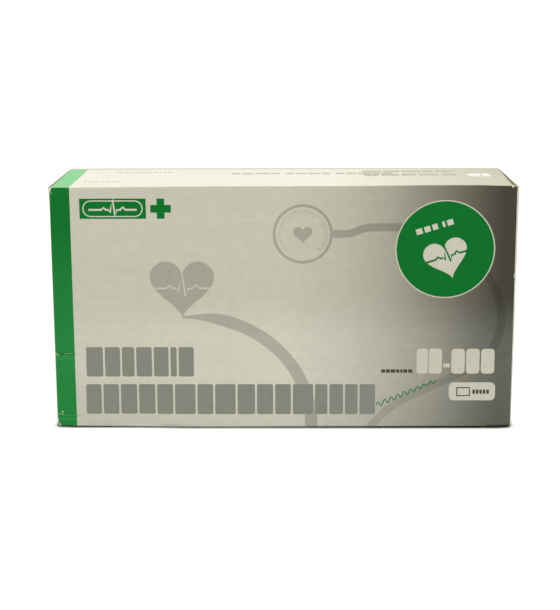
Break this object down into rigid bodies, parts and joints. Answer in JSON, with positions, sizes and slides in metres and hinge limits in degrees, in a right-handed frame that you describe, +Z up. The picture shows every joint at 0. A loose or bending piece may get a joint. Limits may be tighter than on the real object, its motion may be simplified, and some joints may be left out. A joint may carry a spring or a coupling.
{
  "type": "boxed aneroid sphygmomanometer",
  "caption": "Closed paperboard carton with tuck ends, holding an aneroid blood pressure gauge, folded cuff, squeeze bulb, valves and hoses.",
  "frame": {"origin": "middle of the carton's footprint, on the surface it stands on", "axes": "+X along the carton's width to the end away from the gauge, +Y to the carton's back, -Y its printed front, +Z up"},
  "size_m": [0.211, 0.0676, 0.1124],
  "materials": {
    "printed_board": "printed in soft grey and green, lightly varnished",
    "plain_board": "printed outside, raw grey board inside",
    "leaflet_paper": "uncoated white paper",
    "cuff_cloth": "dark blue woven nylon",
    "hook_tape": "stiff hooked tape",
    "loop_tape": "brushed loop tape",
    "bladder_rubber": "smooth black latex",
    "bulb_rubber": "satin black rubber",
    "hose_rubber": "satin black rubber",
    "chrome": "bright chrome plate",
    "steel": "turned bright steel",
    "brass": "turned and stamped brass",
    "capsule_bronze": "pressed phosphor bronze",
    "case_enamel": "black stoved enamel",
    "dial_enamel": "matt white with black scale",
    "pointer_enamel": "matt black",
    "boot_plastic": "moulded black plastic",
    "crystal": "clear domed lens"
  },
  "bodies": {
    "carton": {"carton_sleeve": "printed_board", "instruction_leaflet": "leaflet_paper", "cuff_cover": "cuff_cloth", "hook_pad": "hook_tape", "loop_pad": "loop_tape", "bladder": "bladder_rubber", "squeeze_bulb": "bulb_rubber", "inlet_valve_body": "chrome", "inlet_valve_retainer": "brass", "release_valve_body": "chrome", "outlet_duckbill": "bulb_rubber", "gauge_case": "case_enamel", "crystal_gasket": "bulb_rubber", "gauge_crystal": "crystal", "gauge_bezel": "chrome", "gauge_dial": "dial_enamel", "dial_screws": "steel", "dial_feet": "brass", "hairspring": "steel", "movement_base_plate": "brass", "movement_top_plate": "brass", "movement_posts": "brass", "movement_pillars": "brass", "movement_screws": "steel", "pressure_capsule": "capsule_bronze", "inlet_block": "brass", "inlet_stem": "brass", "gauge_boot": "boot_plastic", "gauge_hose": "hose_rubber", "bulb_hose": "hose_rubber", "gauge_hose_sleeve": "hose_rubber", "bulb_hose_sleeve": "hose_rubber"},
    "right_end": {"right_end_panel": "plain_board"},
    "right_tuck": {"right_tuck_flap": "plain_board"},
    "right_top_dust": {"right_top_dust_flap": "plain_board"},
    "right_bottom_dust": {"right_bottom_dust_flap": "plain_board"},
    "left_end": {"left_end_panel": "plain_board"},
    "left_tuck": {"left_tuck_flap": "plain_board"},
    "left_top_dust": {"left_top_dust_flap": "plain_board"},
    "left_bottom_dust": {"left_bottom_dust_flap": "plain_board"},
    "sector": {"sector_gear": "brass"},
    "needle_arbor": {"pinion_arbor": "brass", "pointer": "pointer_enamel"},
    "rocker": {"rocking_shaft": "steel"},
    "pad": {"capsule_pad": "brass"},
    "release_screw": {"release_needle": "brass"},
    "release_grip": {"release_knob": "chrome"},
    "inlet_ball": {"inlet_valve_ball": "steel"},
    "nut": {"coupling_nut": "chrome"}
  },
  "joints": [
    {"name": "right_end_hinge", "type": "hinge", "parent": "carton", "child": "right_end", "pos_m": [0.105, 0.0338, 0.0562], "axis": [0, 0, 1], "range_deg": [0, 120]},
    {"name": "right_tuck_crease", "type": "hinge", "parent": "right_end", "child": "right_tuck", "pos_m": [0.105, -0.0318, 0.0562], "axis": [0, 0, -1], "range_deg": [0, 30]},
    {"name": "right_top_dust_crease", "type": "hinge", "parent": "carton", "child": "right_top_dust", "pos_m": [0.1043, 0, 0.1119], "axis": [0, -1, 0], "range_deg": [0, 72]},
    {"name": "right_bottom_dust_crease", "type": "hinge", "parent": "carton", "child": "right_bottom_dust", "pos_m": [0.1043, 0, 0.0005], "axis": [0, 1, 0], "range_deg": [0, 72]},
    {"name": "left_end_hinge", "type": "hinge", "parent": "carton", "child": "left_end", "pos_m": [-0.105, 0.0338, 0.0562], "axis": [0, 0, -1], "range_deg": [0, 120]},
    {"name": "left_tuck_crease", "type": "hinge", "parent": "left_end", "child": "left_tuck", "pos_m": [-0.105, -0.0318, 0.0562], "axis": [0, 0, 1], "range_deg": [0, 30]},
    {"name": "left_top_dust_crease", "type": "hinge", "parent": "carton", "child": "left_top_dust", "pos_m": [-0.1043, 0, 0.1119], "axis": [0, 1, 0], "range_deg": [0, 72]},
    {"name": "left_bottom_dust_crease", "type": "hinge", "parent": "carton", "child": "left_bottom_dust", "pos_m": [-0.1043, 0, 0.0005], "axis": [0, -1, 0], "range_deg": [0, 72]},
    {"name": "sector_pivot", "type": "hinge", "parent": "carton", "child": "sector", "pos_m": [-0.0895, -0.005, 0.10383], "axis": [-1, 0, 0], "range_deg": [0, 37.5], "stiffness_Nm_per_rad": 0.02, "springref_deg": -5.73},
    {"name": "pointer_arbor_pivot", "type": "hinge", "parent": "carton", "child": "needle_arbor", "pos_m": [-0.0895, 0, 0.0856], "axis": [-1, 0, 0], "range_deg": [-300, 0]},
    {"name": "rocker_pivot", "type": "hinge", "parent": "carton", "child": "rocker", "pos_m": [-0.0852, -0.005, 0.0856], "axis": [0, 0, 1], "range_deg": [0, 18.42]},
    {"name": "capsule_lift", "type": "slide", "parent": "carton", "child": "pad", "axis": [-1, 0, 0], "range_m": [0, 0.0016]},
    {"name": "release_screw_travel", "type": "slide", "parent": "carton", "child": "release_screw", "axis": [0, 0, -1], "range_m": [0, 0.0009]},
    {"name": "release_knob_turn", "type": "hinge", "parent": "release_screw", "child": "release_grip", "pos_m": [0.059, -0.0103, 0.0102], "axis": [0, 0, -1], "range_deg": [0, 540]},
    {"name": "inlet_ball_lift", "type": "slide", "parent": "carton", "child": "inlet_ball", "axis": [1, 0, 0], "range_m": [0, 0.0008]},
    {"name": "coupling_nut_turn", "type": "hinge", "parent": "carton", "child": "nut", "pos_m": [-0.0825, 0, 0.0343], "axis": [0, 0, 1], "continuous": true}
  ],
  "couplings": [
    {"joint": "right_tuck_crease", "follows": "right_end_hinge", "ratio": 0.25},
    {"joint": "right_top_dust_crease", "follows": "right_end_hinge", "ratio": 0.6},
    {"joint": "right_bottom_dust_crease", "follows": "right_end_hinge", "ratio": 0.6},
    {"joint": "left_tuck_crease", "follows": "left_end_hinge", "ratio": 0.25},
    {"joint": "left_top_dust_crease", "follows": "left_end_hinge", "ratio": 0.6},
    {"joint": "left_bottom_dust_crease", "follows": "left_end_hinge", "ratio": 0.6},
    {"joint": "pointer_arbor_pivot", "follows": "sector_pivot", "ratio": -8},
    {"joint": "rocker_pivot", "follows": "sector_pivot", "ratio": 0.49103},
    {"joint": "capsule_lift", "follows": "sector_pivot", "m_per_rad": 0.0024446},
    {"joint": "release_screw_travel", "follows": "release_knob_turn", "m_per_rad": 0.000095492}
  ]
}
